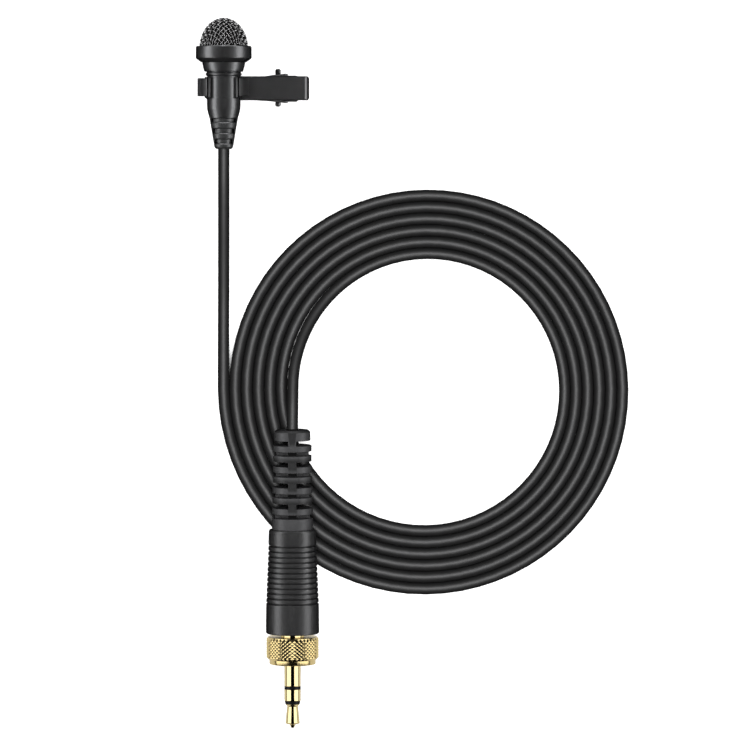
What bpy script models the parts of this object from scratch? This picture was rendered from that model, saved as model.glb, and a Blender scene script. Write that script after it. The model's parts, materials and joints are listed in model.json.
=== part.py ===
"""A lavalier microphone: windscreen, body, spring clip, cable wound in a flat coil, and a 3.5 mm plug.

The object lies on z = 0. +Y runs from the plug towards the windscreen, +X from the microphone
towards the middle of the coil. The clip and the microphone stand on the origin's footprint.
Turned pieces are described by (radius, station) pairs in millimetres. The microphone's stations
count from the top of its dome, the plug's from the end of its tip.
"""

import math

import bmesh
import bpy
from mathutils import Matrix, Vector

MM = 0.001

# Microphone: axis height and place, all in millimetres.
MIC_X = -6.14
MIC_APEX_Y = 14.01
MIC_Z = 8.10
DOME_R = 5.25
DOME_L = 6.50
COLLAR_R = 5.95
CUP_R = 4.57
BARREL_R = 3.58
HOLDER_SEAT_R = 3.50
TAIL_END = 28.02

# Clip.
CLIP_Y = -0.93
CLIP_HALF_W = 2.57
SHEET = 0.5
ARM_Z = 3.65
AXLE_X = MIC_X + 11.5
AXLE_Z = 1.95
AXLE_R = 0.565
AXLE_HALF_L = 3.90
EAR_HOLE_R = 0.60
SPRING_R = 0.82
SPRING_WIRE_R = 0.15
SPRING_TURNS = 4.5

# Cable.
CABLE_D = 2.30
CABLE_R = CABLE_D / 2
CABLE_Z = CABLE_R + 0.01
COIL_X = 37.06
COIL_Y = -65.30
COIL_R0 = 43.17
COIL_PITCH = 2.486
COIL_TURNS = 6
LIFT_TURN = 5 / 6
GAP = 0.3

# Plug.
PLUG_X = 8.50
PLUG_TIP_Y = -137.49
PLUG_TILT = math.radians(4.8)
KNURL_R = 5.59
RING_FRONT = 13.74
KNURL_START = 14.84
KNURL_END = 19.61
BARREL_FRONT = 20.30
BARREL_BACK = 42.56
BOOT_END = 63.87
BOOT_WEB = 0.85
BOOT_HEAD = 2.20
BOOT_SLOT = 1.05
BOOT_RING = 1.26
BOOT_PITCH = 4.473
BOOT_BASE = 38.84
BOOT_BORE = 1.20
JACK_R = 1.75
TIP_END = 5.18
RING_START = 5.83
RING_END = 8.35
SLEEVE_START = 8.95
NECK_START = 16.24
NECK_R = 2.48
PLUG_TIP_Z = KNURL_R * math.cos(PLUG_TILT) + 0.01 - (KNURL_START + 0.3) * math.sin(PLUG_TILT)

MATERIALS = {
    "black_metal": ((0.030, 0.031, 0.033), 0.42, 0.6),
    "mesh_wire": ((0.10, 0.10, 0.105), 0.35, 0.9),
    "foam": ((0.018, 0.018, 0.018), 0.95, 0.0),
    "black_rubber": ((0.028, 0.028, 0.029), 0.62, 0.0),
    "black_plastic": ((0.024, 0.024, 0.025), 0.45, 0.0),
    "capsule_metal": ((0.62, 0.62, 0.60), 0.30, 1.0),
    "felt": ((0.05, 0.05, 0.05), 0.95, 0.0),
    "board": ((0.03, 0.16, 0.07), 0.50, 0.0),
    "copper": ((0.72, 0.38, 0.22), 0.35, 1.0),
    "spring_steel": ((0.45, 0.45, 0.46), 0.30, 1.0),
    "gold": ((0.83, 0.62, 0.27), 0.22, 1.0),
    "cable_jacket": ((0.026, 0.026, 0.027), 0.55, 0.0),
}


def material(name):
    """The named Principled material, made on first use."""
    found = bpy.data.materials.get(name)
    if found is None:
        colour, rough, metal = MATERIALS[name]
        found = bpy.data.materials.new(name)
        found.use_nodes = True
        shader = found.node_tree.nodes["Principled BSDF"]
        shader.inputs["Base Color"].default_value = (*colour, 1.0)
        shader.inputs["Roughness"].default_value = rough
        shader.inputs["Metallic"].default_value = metal
        found.diffuse_color = (*colour, 1.0)
    return found


def add_mesh(name, bm, mat, parent=None, sharp=35.0):
    """An object from a closed bmesh in millimetres, with outward faces and smooth round sides."""
    bmesh.ops.recalc_face_normals(bm, faces=bm.faces)
    bmesh.ops.scale(bm, vec=(MM, MM, MM), verts=bm.verts)
    mesh = bpy.data.meshes.new(name)
    bm.to_mesh(mesh)
    bm.free()
    mesh.polygons.foreach_set("use_smooth", [True] * len(mesh.polygons))
    mesh.set_sharp_from_angle(angle=math.radians(sharp))
    mesh.materials.append(material(mat))
    obj = bpy.data.objects.new(name, mesh)
    bpy.context.scene.collection.objects.link(obj)
    obj.parent = parent
    return obj


def empty(name, place, rotation=(0.0, 0.0, 0.0)):
    """A frame that pieces are parented to, placed in millimetres."""
    obj = bpy.data.objects.new(name, None)
    bpy.context.scene.collection.objects.link(obj)
    obj.location = Vector(place) * MM
    obj.rotation_euler = rotation
    return obj


def lathe_bmesh(profile, segments, closed):
    """Turns (radius, station) pairs about +Z. An open profile starts and ends on the axis."""
    bm = bmesh.new()
    rings = []
    for radius, station in profile:
        if radius < 1e-6:
            rings.append([bm.verts.new((0.0, 0.0, station))] * segments)
        else:
            turn = [2 * math.pi * k / segments for k in range(segments)]
            rings.append(
                [bm.verts.new((radius * math.cos(a), radius * math.sin(a), station)) for a in turn]
            )
    pairs = list(zip(rings, rings[1:] + rings[:1]))
    for low, high in pairs if closed else pairs[:-1]:
        for k in range(segments):
            n = (k + 1) % segments
            corners = [low[k], low[n], high[n], high[k]]
            face = [v for i, v in enumerate(corners) if v not in corners[:i]]
            if len(face) > 2:
                bm.faces.new(face)
    return bm


def turned(name, profile, mat, parent, segments=32):
    """A turned piece. A profile that never touches the axis is a ring."""
    ring = all(radius > 1e-6 for radius, _ in profile)
    return add_mesh(name, lathe_bmesh(profile, segments, ring), mat, parent)


def tube_profile(r_in, r_out, start, end, edge=0.0):
    """The section of a plain sleeve, with its outer edges broken by edge."""
    outer = [(r_out, start), (r_out, end)]
    if edge:
        outer = [(r_out - edge, start), (r_out, start + edge), (r_out, end - edge), (r_out - edge, end)]
    return outer + [(r_in, end), (r_in, start)]


def rod_profile(radius, start, end, edge=0.0):
    """The section of a plain rod."""
    if edge:
        sides = [(radius - edge, start), (radius, start + edge), (radius, end - edge), (radius - edge, end)]
    else:
        sides = [(radius, start), (radius, end)]
    return [(0.0, start)] + sides + [(0.0, end)]


def prism_bmesh(outline, low, high, place=Matrix.Identity(4)):
    """A flat outline in X and Y, stretched from low to high along Z, then placed."""
    bm = bmesh.new()
    bottom = [bm.verts.new(place @ Vector((x, y, low))) for x, y in outline]
    top = [bm.verts.new(place @ Vector((x, y, high))) for x, y in outline]
    bm.faces.new(bottom[::-1])
    bm.faces.new(top)
    for k in range(len(outline)):
        n = (k + 1) % len(outline)
        bm.faces.new([bottom[k], bottom[n], top[n], top[k]])
    return bm


def box_outline(x0, x1, y0, y1):
    return [(x0, y0), (x1, y0), (x1, y1), (x0, y1)]


def boolean(obj, tools, operation):
    """Adds or removes closed bmeshes in millimetres, given in the object's own frame."""
    for bm in tools:
        tool = add_mesh(obj.name + "_tool", bm, obj.data.materials[0].name, obj.parent)
        tool.hide_render = True
        tool.display_type = "WIRE"
        step = obj.modifiers.new(operation.lower(), "BOOLEAN")
        step.operation = operation
        step.solver = "EXACT"
        step.object = tool


def join_bmeshes(parts):
    """One bmesh that holds several separate closed solids."""
    whole = bmesh.new()
    for part in parts:
        mesh = bpy.data.meshes.new("part_of_tool")
        part.to_mesh(mesh)
        part.free()
        whole.from_mesh(mesh)
        bpy.data.meshes.remove(mesh)
    return whole


def bend_path(points, radius, steps=4):
    """Rounds the corners of a polyline in a plane, with arcs of the given radius."""
    path = [Vector(points[0])]
    for before, corner, after in zip(points, points[1:], points[2:]):
        corner = Vector(corner)
        back = (Vector(before) - corner).normalized()
        on = (Vector(after) - corner).normalized()
        half = back.angle(on) / 2
        reach = radius / math.tan(half)
        centre = corner + (back + on).normalized() * (radius / math.sin(half))
        first = corner + back * reach - centre
        last = corner + on * reach - centre
        sweep = first.angle_signed(last)
        for k in range(steps + 1):
            a = -sweep * k / steps
            turned_arm = Vector(
                (
                    first.x * math.cos(a) - first.y * math.sin(a),
                    first.x * math.sin(a) + first.y * math.cos(a),
                )
            )
            path.append(centre + turned_arm)
    path.append(Vector(points[-1]))
    return path


def sheet_strip(path, half_widths, thickness, y_mid):
    """Sheet metal bent along a path of (x, z) points, with its own half width at each point."""
    bm = bmesh.new()
    sections = []
    for k, point in enumerate(path):
        before = path[max(k - 1, 0)]
        after = path[min(k + 1, len(path) - 1)]
        along = (after - before).normalized()
        out = Vector((-along.y, along.x)) * (thickness / 2)
        w = half_widths[k]
        corners = [(point + out, -w), (point + out, w), (point - out, w), (point - out, -w)]
        sections.append([bm.verts.new((p.x, y_mid + v, p.y)) for p, v in corners])
    for one, two in zip(sections, sections[1:]):
        for k in range(4):
            n = (k + 1) % 4
            bm.faces.new([one[k], one[n], two[n], two[k]])
    bm.faces.new(sections[0])
    bm.faces.new(sections[-1][::-1])
    return bm


def wire(name, points, radius, mat, resolution=1):
    """A round wire or cable through the given points, as a curve with filled ends."""
    curve = bpy.data.curves.new(name, "CURVE")
    curve.dimensions = "3D"
    curve.bevel_depth = radius * MM
    curve.bevel_resolution = resolution
    curve.use_fill_caps = True
    spline = curve.splines.new("POLY")
    spline.points.add(len(points) - 1)
    for slot, point in zip(spline.points, points):
        slot.co = (*(Vector(point) * MM), 1.0)
    spline.use_smooth = True
    curve.materials.append(material(mat))
    obj = bpy.data.objects.new(name, curve)
    bpy.context.scene.collection.objects.link(obj)
    return obj


def smooth_curve(stations, count):
    """Points at even steps along a smooth curve through hand-chosen points."""
    legs = len(stations) - 1
    padded = [stations[0]] + list(stations) + [stations[-1]]
    found = []
    for k in range(count):
        t = legs * k / (count - 1)
        i = min(int(t), legs - 1)
        u = t - i
        a, b, c, d = (Vector(p) for p in padded[i : i + 4])
        bend = (2 * a - 5 * b + 4 * c - d) * u**2 + (3 * b - a - 3 * c + d) * u**3
        found.append((2 * b + (c - a) * u + bend) / 2)
    return found


def eased(u, start, end, end_slope=0.0):
    """A value that leaves start level and reaches end at u = 1 with the given slope."""
    u = min(max(u, 0.0), 1.0)
    return start + (end - start) * (3 * u**2 - 2 * u**3) + end_slope * (u**3 - u**2)


def dome_profile(radius, length, top, base, steps=9):
    """Points on a half ellipse from its top to the station base."""
    last = math.acos(max(-1.0, (length - (base - top)) / length))
    turn = [last * k / steps for k in range(steps + 1)]
    return [(radius * math.sin(a), top + length * (1 - math.cos(a))) for a in turn]


def build_windscreen(mic):
    """Wire dome, its collar, the foam inside and the rubber ring that grips the cup."""
    outer = dome_profile(DOME_R, DOME_L, 0.0, 6.85, 8)
    inner = dome_profile(DOME_R - 0.35, DOME_L - 0.35, 0.35, 6.85, 5)
    turned("windscreen_mesh", outer + inner[::-1], "mesh_wire", mic, 24)
    outer = dome_profile(DOME_R - 0.45, DOME_L - 0.45, 0.45, 6.80, 5)
    inner = dome_profile(DOME_R - 1.15, DOME_L - 1.15, 1.15, 6.80, 5)
    turned("foam_liner", outer + inner[::-1], "foam", mic, 16)
    collar = [(5.29, 6.90), (5.29, 6.10), (5.75, 6.10), (5.90, 6.18), (COLLAR_R, 6.38)]
    collar += [(COLLAR_R, 8.60), (5.86, 8.78), (4.62, 9.54), (4.46, 9.54), (4.46, 6.90)]
    turned("windscreen_collar", collar, "black_metal", mic, 24)
    turned("windscreen_grip_ring", tube_profile(4.04, 4.44, 7.1, 9.3), "black_rubber", mic, 24)


def build_head(mic):
    """Cup with its spigot, and the capsule, felt, gasket and board that sit in it."""
    cup = [(3.40, 6.95), (3.90, 6.95), (4.00, 7.05), (4.00, 9.62), (CUP_R, 9.62), (CUP_R, 9.75)]
    cup += [(4.10, 11.60), (3.50, 11.65), (3.46, 12.05), (3.69, 12.12), (3.60, 12.50)]
    cup += [(2.70, 12.50), (2.70, 15.0), (1.80, 15.0), (1.80, 10.60), (3.40, 10.60)]
    turned("head_cup", cup, "black_metal", mic, 24)
    turned("capsule_can", rod_profile(2.92, 5.50, 9.90), "capsule_metal", mic, 16)
    turned("dust_felt", rod_profile(2.45, 5.20, 5.47), "felt", mic, 12)
    turned("capsule_gasket", tube_profile(2.98, 3.37, 7.2, 9.6), "black_rubber", mic, 16)
    turned("capsule_board", rod_profile(2.80, 9.93, 10.33), "board", mic, 12)


def slot_tool(start, end, half_w, floor_r, sign):
    """A slot cut from the front or the back, with a rounded floor, between two side webs."""
    arc = [floor_r * math.sin(math.radians(a)) for a in range(-90, 91, 18)]
    arc = [x for x in arc if abs(x) < half_w]
    arc = [-half_w] + arc + [half_w]
    floor = [(x, sign * math.sqrt(max(floor_r**2 - x**2, 0.04))) for x in arc]
    outline = floor + [(half_w, sign * 6.0), (-half_w, sign * 6.0)]
    return prism_bmesh(outline, start, end)


def build_body(mic):
    """Barrel and slotted tail of the microphone, with the crimp and the cable's end inside."""
    shell = [(2.76, 12.55), (3.48, 12.55), (BARREL_R, 12.65), (BARREL_R, 12.90)]
    shell += [(HOLDER_SEAT_R, 12.95), (HOLDER_SEAT_R, 17.10), (BARREL_R, 17.20), (BARREL_R, 18.90)]
    shell += [(3.52, 19.60), (3.04, 21.42), (2.10, 21.42), (2.10, 15.10), (2.76, 15.10)]
    turned("body_shell", shell, "black_metal", mic, 28)
    tail = [(1.17, 21.46), (3.02, 21.46), (1.98, 27.55), (1.86, 27.90), (1.62, TAIL_END)]
    tail += [(1.17, TAIL_END)]
    relief = turned("strain_relief", tail, "black_rubber", mic, 24)
    slots = []
    for start, end, radius in ((21.50, 22.42, 2.95), (23.67, 24.75, 2.57), (25.93, 26.95, 2.18)):
        for sign in (-1, 1):
            slots.append(slot_tool(start, end, radius - 0.42, radius - 0.55, sign))
    boolean(relief, [join_bmeshes(slots)], "DIFFERENCE")
    turned("cable_core_mic", rod_profile(CABLE_R - 0.02, 18.5, TAIL_END + 0.28), "cable_jacket", mic, 12)
    turned("cable_ferrule", tube_profile(1.18, 1.75, 18.8, 21.0), "capsule_metal", mic, 12)
    for name, side in (("signal_wire", 0.45), ("ground_wire", -0.45)):
        route = [(side * 2, 10.40), (side * 1.6, 12.0), (side, 14.5), (side, 18.45)]
        points = [(MIC_X + x, MIC_APEX_Y - s, MIC_Z) for x, s in route]
        wire(name, smooth_curve(points, 7), 0.22, "copper")


def holder_path():
    """Centre line of the C band in X and Z about the microphone's axis, from lip to lip."""
    radius = HOLDER_SEAT_R + 0.045 + 0.225
    half = [(-5.47, 3.15), (-4.10, 2.90), (-3.20, 2.70), (-2.86, 2.56)]
    for degrees in range(135, 248, 14):
        a = math.radians(degrees)
        half.append((radius * math.cos(a), radius * math.sin(a)))
    half.append((-1.20, -radius - 0.06))
    return [Vector(p) for p in half + [(-x, z) for x, z in half[::-1]]]


def build_clip(clip, axle):
    """Band, rivet and upper arm, in a frame on the microphone's axis; pin and spring on the pin's axis."""
    path = holder_path()
    widths = [1.93] * len(path)
    widths[0] = widths[-1] = 1.75
    band = sheet_strip(path, widths, 0.45, -0.01)
    obj = add_mesh("holder_band", band, "black_metal", clip)
    low = HOLDER_SEAT_R + 0.27 + 0.06
    rivet_hole = lathe_bmesh(rod_profile(0.56, -6.0, -2.0), 12, False)
    boolean(obj, [rivet_hole], "DIFFERENCE")
    shank = [(0.0, -low - 1.40), (0.90, -low - 1.40), (0.95, -low - 1.20), (0.90, -low - 0.955)]
    shank += [(0.52, -low - 0.955), (0.52, -low + 0.16), (0.0, -low + 0.16)]
    turned("holder_rivet", shank, "spring_steel", clip, 12)

    z = ARM_Z - MIC_Z
    flat = [(-4.00, z), (-3.80, z), (-3.30, z), (-2.90, z), (9.0, z), (17.10, z)]
    path = [Vector(p) for p in flat] + bend_path([(17.10, z), (17.80, z), (18.02, z - 0.80)], 0.35)[1:]
    widths = [1.75, 2.15, 2.45, CLIP_HALF_W] + [CLIP_HALF_W] * (len(path) - 4)
    arm = add_mesh("upper_arm", sheet_strip(path, widths, SHEET, 0.0), "black_metal", clip)
    x, z = AXLE_X - MIC_X, AXLE_Z - MIC_Z
    ear = [(x + 1.25 * math.cos(a), z + 1.25 * math.sin(a)) for a in arc_angles(-180, 0, 10)]
    ear += [(x + 1.9, ARM_Z - MIC_Z), (x - 1.9, ARM_Z - MIC_Z)]
    stand = Matrix.Rotation(math.pi / 2, 4, "X")
    for side in (-1.85, 1.85):
        boolean(arm, [prism_bmesh(ear, side - 0.2, side + 0.2, stand)], "UNION")
    pin_hole = lathe_bmesh(rod_profile(AXLE_R + 0.025, -3.0, 3.0), 16, False)
    pin_hole.transform(Matrix.Translation((x, 0.0, z)) @ stand)
    boolean(arm, [pin_hole, lathe_bmesh(rod_profile(0.56, -6.0, -3.0), 12, False)], "DIFFERENCE")

    pin = rod_profile(AXLE_R, -AXLE_HALF_L, AXLE_HALF_L, 0.18)
    turned("axle_pin", pin, "spring_steel", axle, 16)
    helix = []
    for k in range(int(SPRING_TURNS * 10) + 1):
        a = math.pi / 2 + 2 * math.pi * k / 10
        along = 1.1 - 2.2 * k / (SPRING_TURNS * 10)
        helix.append((SPRING_R * math.cos(a), along, SPRING_R * math.sin(a)))
    first = [(4.0, 1.1, 1.26), (2.4, 1.1, 1.10), (0.9, 1.1, 0.92)]
    last = [(0.9, -1.1, -0.90), (2.4, -1.1, -1.08), (4.0, -1.1, -1.26)]
    points = [(AXLE_X + px, CLIP_Y + py, AXLE_Z + pz) for px, py, pz in first + helix + last]
    wire("torsion_spring", points, SPRING_WIRE_R, "spring_steel")


def arc_angles(first, last, steps):
    return [math.radians(first + (last - first) * k / steps) for k in range(steps + 1)]


def build_lower_arm(jaw):
    """Lower arm, in a frame on the pin: toothed jaw, widened middle, outer ears and finger tab."""
    z = SHEET / 2 - AXLE_Z
    bend = bend_path([(-15.05, 1.20), (-14.75, z), (-2.0, z)], 0.5)[:-1]
    stations = [(-4.7, 2.50), (-3.3, 2.60), (2.1, 2.81), (3.9, 2.81), (4.25, 2.50), (5.4, 2.42), (5.7, 2.0)]
    path = bend + [Vector((x, z)) for x, _ in stations]
    widths = [2.30] * len(bend) + [w for _, w in stations]
    arm = add_mesh("lower_arm", sheet_strip(path, widths, SHEET, 0.0), "black_metal", jaw)
    profile = [(-3.3, z - 0.24), (2.1, z - 0.24), (2.1, 0.45), (1.5, 0.95), (-1.2, 0.95)]
    for side in (-1, 1):
        bm = bmesh.new()
        faces = []
        for lean in (0.0, 0.42):
            corners = []
            for px, pz in profile:
                low = 2.60 + 0.21 * (px + 3.3) / 5.4
                high = 2.60 + 0.62 * (px + 3.3) / 5.4
                edge = low + (high - low) * (pz - z) / (0.95 - z)
                corners.append(bm.verts.new((px, side * (edge - lean), pz)))
            faces.append(corners)
        bm.faces.new(faces[0])
        bm.faces.new(faces[1][::-1])
        for k in range(len(profile)):
            n = (k + 1) % len(profile)
            bm.faces.new([faces[0][k], faces[0][n], faces[1][n], faces[1][k]])
        boolean(arm, [bm], "UNION")
    stand = Matrix.Rotation(math.pi / 2, 4, "X")
    hole = lathe_bmesh(rod_profile(EAR_HOLE_R, -4.0, 4.0), 16, False)
    hole.transform(stand)
    teeth = []
    for k in range(-2, 3):
        notch = [(k * 0.9 - 0.32, 1.40), (k * 0.9 + 0.32, 1.40), (k * 0.9, 0.72)]
        along_x = Matrix.Rotation(math.pi / 2, 4, "Z") @ Matrix.Rotation(math.pi / 2, 4, "X")
        teeth.append(prism_bmesh(notch, -16.0, -14.0, along_x))
    boolean(arm, [hole, join_bmeshes(teeth)], "DIFFERENCE")


def coil_radius(turns):
    """Distance of the cable's centre line from the coil's centre after some turns."""
    return COIL_R0 - COIL_PITCH * turns


def coil_point(turns, z=CABLE_Z):
    """A point of the winding. It starts at the coil's left and runs by the side nearest the plug."""
    a = math.pi + 2 * math.pi * turns
    r = coil_radius(turns)
    return Vector((COIL_X + r * math.cos(a), COIL_Y + r * math.sin(a), z))


def build_coil():
    """The windings as one flat ring whose two edges follow the spiral."""
    step = 0.001
    bm = bmesh.new()
    turns = [k / 72 for k in range(72)] + [LIFT_TURN + step, 1.0 - step]
    sections = []
    for turn in sorted(turns):
        wound = 4.0 if turn > LIFT_TURN + step / 2 else 5.0
        outer = coil_radius(turn) + CABLE_R
        inner = coil_radius(turn + wound) - CABLE_R
        soft = 0.45
        shape = [(inner + soft, -CABLE_R), (outer - soft, -CABLE_R), (outer, -CABLE_R + soft)]
        shape += [(outer, CABLE_R - soft), (outer - soft, CABLE_R), (inner + soft, CABLE_R)]
        shape += [(inner, CABLE_R - soft), (inner, -CABLE_R + soft)]
        a = math.pi + 2 * math.pi * turn
        centre = Vector((COIL_X, COIL_Y, CABLE_Z))
        corners = [centre + Vector((r * math.cos(a), r * math.sin(a), z)) for r, z in shape]
        sections.append([bm.verts.new(corner) for corner in corners])
    for one, two in zip(sections, sections[1:] + sections[:1]):
        for k in range(8):
            n = (k + 1) % 8
            bm.faces.new([one[k], one[n], two[n], two[k]])
    add_mesh("cable_coil", bm, "cable_jacket", None, 50.0)


def plug_point(station):
    """A point on the plug's axis."""
    along = Vector((0.0, math.cos(PLUG_TILT), math.sin(PLUG_TILT)))
    return Vector((PLUG_X, PLUG_TIP_Y, PLUG_TIP_Z)) + along * station


def build_cable():
    """The cable's two free ends: from the microphone to the coil, and from the coil up to the plug."""
    first = MIC_APEX_Y - TAIL_END - 0.28 - GAP
    last = COIL_Y + GAP + 0.1
    points = []
    for k in range(19):
        y = first + (last - first) * k / 18
        points.append((MIC_X, y, eased((first - y) / 38.0, MIC_Z, CABLE_Z)))
    wire("cable_mic_end", points, CABLE_R, "cable_jacket", 2)

    begin = COIL_TURNS - 1 + LIFT_TURN + 0.0035
    boot = plug_point(BOOT_END + 0.28 + GAP)
    rim = [coil_point(begin + (COIL_TURNS - begin) * k / 12) for k in range(13)]
    run = [rim[-1].lerp(boot, k / 3) for k in (1, 2, 3)]
    points = rim + run
    lengths = [0.0]
    for one, two in zip(points, points[1:]):
        lengths.append(lengths[-1] + math.hypot(two.x - one.x, two.y - one.y))
    fall = -math.tan(PLUG_TILT) * lengths[-1]
    for point, length in zip(points, lengths):
        point.z = eased(length / lengths[-1], CABLE_Z, boot.z, fall)
    wire("cable_plug_end", points, CABLE_R, "cable_jacket", 2)


def boot_slot(k):
    """The station at the lower edge of the boot's side slot k, counted from the cable's end."""
    return BOOT_END - BOOT_HEAD - BOOT_SLOT - BOOT_PITCH * k


def boot_groove(k):
    """The two edges of the crossed groove below side slot k."""
    low = boot_slot(k)
    return low - BOOT_PITCH + BOOT_SLOT + BOOT_RING, low - BOOT_RING


def boot_profile():
    """Section of the boot: rings between slots and shallow grooves, a smooth collar and a spigot."""
    profile = [(BOOT_BORE, BOOT_END), (3.45, BOOT_END), (3.80, BOOT_END - 0.25)]
    profile += [(3.86, BOOT_END - BOOT_HEAD), (3.90, boot_slot(0))]
    for k in range(4):
        low = boot_slot(k)
        start, end = boot_groove(k)
        wide = 4.06 + 0.10 * k
        profile += [(wide, low - 0.12), (wide, end), (wide - 0.34, end - 0.06)]
        profile += [(wide - 0.34, start + 0.06)]
        if k < 3:
            profile += [(wide, start), (wide, start - 1.13)]
    profile += [(4.36, boot_groove(3)[0]), (4.36, BARREL_BACK + 0.03)]
    profile += [(4.10, BARREL_BACK + 0.03), (4.10, BOOT_BASE), (BOOT_BORE, BOOT_BASE)]
    return profile


def build_boot(plug):
    """Bend relief: side slots open the boot on both sides of a web, crossed slots sit between them."""
    boot = turned("plug_boot", boot_profile(), "black_rubber", plug, 20)
    tools = []
    for k in range(4):
        low = boot_slot(k)
        for side in (1, -1):
            across = sorted((side * BOOT_WEB, side * 6.0))
            tools.append(prism_bmesh(box_outline(*across, -6.0, 6.0), low, low + BOOT_SLOT))
            tools.append(prism_bmesh(box_outline(-6.0, 6.0, *across), *boot_groove(k)))
    boolean(boot, [join_bmeshes(tools)], "DIFFERENCE")
    core = rod_profile(CABLE_R - 0.02, 34.64, BOOT_END + 0.28)
    turned("cable_core_plug", core, "cable_jacket", plug, 12)


def build_handle(plug):
    """Ribbed barrel of the plug, with the moulded insert, the crimp and two wires inside."""
    profile = [(2.52, BARREL_FRONT), (5.35, BARREL_FRONT), (5.65, BARREL_FRONT + 0.40), (5.65, 26.64)]
    pitch = 1.114
    for k in range(11):
        low = 26.79 + pitch * k
        wide = 5.64 - 0.045 * k
        profile += [(wide - 0.22, low), (wide, low + 0.25), (wide, low + 0.85)]
    profile += [(5.10, 39.14), (5.04, BARREL_BACK - 0.30), (4.85, BARREL_BACK), (4.13, BARREL_BACK)]
    profile += [(4.13, 21.94), (2.52, 21.94)]
    turned("plug_barrel", profile, "black_plastic", plug, 24)
    insert = [(1.75, 21.98), (4.09, 21.98), (4.09, 26.14), (2.60, 26.84), (0.60, 26.84), (0.60, 26.24)]
    insert += [(1.75, 26.24)]
    turned("plug_insert", insert, "black_plastic", plug, 16)
    turned("plug_crimp", tube_profile(1.18, 1.85, 34.84, 38.24), "capsule_metal", plug, 12)
    for name, side in (("tip_wire", 0.40), ("sleeve_wire", -0.40)):
        route = [(side * 2.0, 27.04), (side * 2.4, 29.14), (side * 1.6, 32.14), (side, 34.54)]
        frame = plug.matrix_basis
        points = [frame @ (Vector((x, 0.0, s)) * MM) / MM for x, s in route]
        wire(name, smooth_curve(points, 7), 0.25, "copper")


def build_jack(plug):
    """The contacts: tip with its rod, ring and sleeve as tubes one inside the other, insulators between."""
    tip = [(0.0, 0.0), (0.35, 0.0), (0.60, 0.18), (1.46, 1.00), (1.45, 1.35), (1.20, TIP_END - 0.51)]
    tip += [(1.50, TIP_END), (0.45, TIP_END), (0.45, 26.14), (0.0, 26.14)]
    turned("jack_tip", tip, "gold", plug, 16)
    start, end = TIP_END + 0.03, RING_START - 0.03
    front = [(0.48, start), (1.53, start), (1.68, end), (0.76, end), (0.76, 25.24), (0.48, 25.24)]
    turned("jack_insulator_front", front, "black_plastic", plug, 16)
    ring = [(0.79, RING_START), (JACK_R - 0.04, RING_START), (JACK_R, RING_START + 0.06)]
    ring += [(JACK_R, RING_END - 0.04), (JACK_R - 0.04, RING_END), (1.02, RING_END)]
    ring += [(1.02, 24.84), (0.79, 24.84)]
    turned("jack_ring", ring, "gold", plug, 16)
    start, end = RING_END + 0.03, SLEEVE_START - 0.03
    rear = [(1.05, start), (1.72, start), (1.72, end), (1.28, end), (1.28, 24.24), (1.05, 24.24)]
    turned("jack_insulator_rear", rear, "black_plastic", plug, 16)
    sleeve = [(1.31, SLEEVE_START), (JACK_R - 0.04, SLEEVE_START), (JACK_R, SLEEVE_START + 0.06)]
    sleeve += [(JACK_R, NECK_START), (NECK_R, NECK_START), (NECK_R, 21.04)]
    sleeve += [(1.72, 21.04), (1.72, 24.04), (1.31, 24.04)]
    turned("jack_sleeve", sleeve, "gold", plug, 16)
    turned("retaining_ring", tube_profile(2.50, 3.05, 17.19, 17.69), "spring_steel", plug, 16)


def build_locking_ring(plug):
    """Knurled ring that turns on the plug's neck, with a smooth band in front of the knurl."""
    profile = [(3.40, RING_FRONT), (4.80, RING_FRONT), (4.95, RING_FRONT + 0.15)]
    profile += [(4.95, KNURL_START), (5.25, KNURL_START), (KNURL_R, KNURL_START + 0.30)]
    profile += [(KNURL_R, KNURL_END - 0.32), (5.25, KNURL_END), (2.54, KNURL_END)]
    profile += [(2.54, 17.94), (3.40, 17.94)]
    turned("locking_ring", profile, "gold", plug, 28)


def main():
    for obj in list(bpy.data.objects):
        bpy.data.objects.remove(obj, do_unlink=True)
    mic = empty("mic_axis", (MIC_X, MIC_APEX_Y, MIC_Z), (math.pi / 2, 0.0, 0.0))
    clip = empty("clip_frame", (MIC_X, CLIP_Y, MIC_Z))
    axle = empty("axle_axis", (AXLE_X, CLIP_Y, AXLE_Z), (math.pi / 2, 0.0, 0.0))
    jaw = empty("jaw_frame", (AXLE_X, CLIP_Y, AXLE_Z))
    lean = (PLUG_TILT - math.pi / 2, 0.0, 0.0)
    plug = empty("plug_axis", (PLUG_X, PLUG_TIP_Y, PLUG_TIP_Z), lean)
    bpy.context.view_layer.update()
    build_windscreen(mic)
    build_head(mic)
    build_body(mic)
    build_clip(clip, axle)
    build_lower_arm(jaw)
    build_coil()
    build_cable()
    build_boot(plug)
    build_handle(plug)
    build_jack(plug)
    build_locking_ring(plug)


main()
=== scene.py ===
"""The looks of a lavalier microphone: woven windscreen, satin body, spring clip, coiled cable, gold plug.

Shapes are worked out in millimetres. A turned piece is a list of (radius, station) pairs: stations
on the microphone count from the top of its dome, stations on the plug from the end of its tip.
"""

import json
import math

import bmesh
import bpy
from mathutils import Matrix, Vector

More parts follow.
